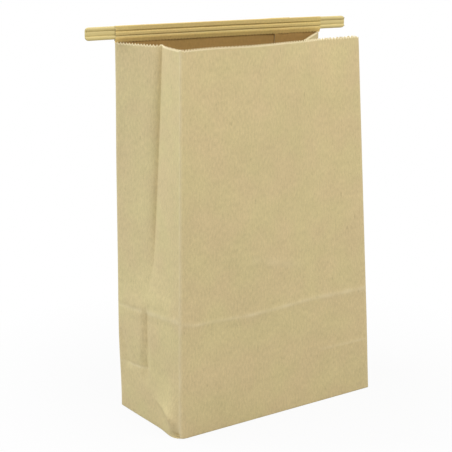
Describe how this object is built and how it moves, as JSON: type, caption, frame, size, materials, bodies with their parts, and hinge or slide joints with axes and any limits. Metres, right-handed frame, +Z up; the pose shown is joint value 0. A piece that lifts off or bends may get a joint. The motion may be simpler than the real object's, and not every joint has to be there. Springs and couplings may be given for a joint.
{
  "type": "paper lunch bag",
  "caption": "Standing flat-bottomed brown kraft paper bag with side gussets, an open serrated mouth and a wire tie folded into its back lip, its bare ends standing out at both sides.",
  "frame": {"origin": "middle of the base, on the surface the bag stands on", "axes": "+Z up, +X to the right along the broad front panel, -Y out of the front panel"},
  "size_m": [0.1912, 0.0704, 0.2454],
  "materials": {
    "kraft_paper": "uncoated, matte",
    "tie_ribbon": "satin",
    "tie_wire": "drawn"
  },
  "bodies": {
    "root": {"paper_bag": "kraft_paper", "tie_strip": "tie_ribbon", "tie_wire_upper": "tie_wire", "tie_wire_lower": "tie_wire"}
  },
  "joints": []
}
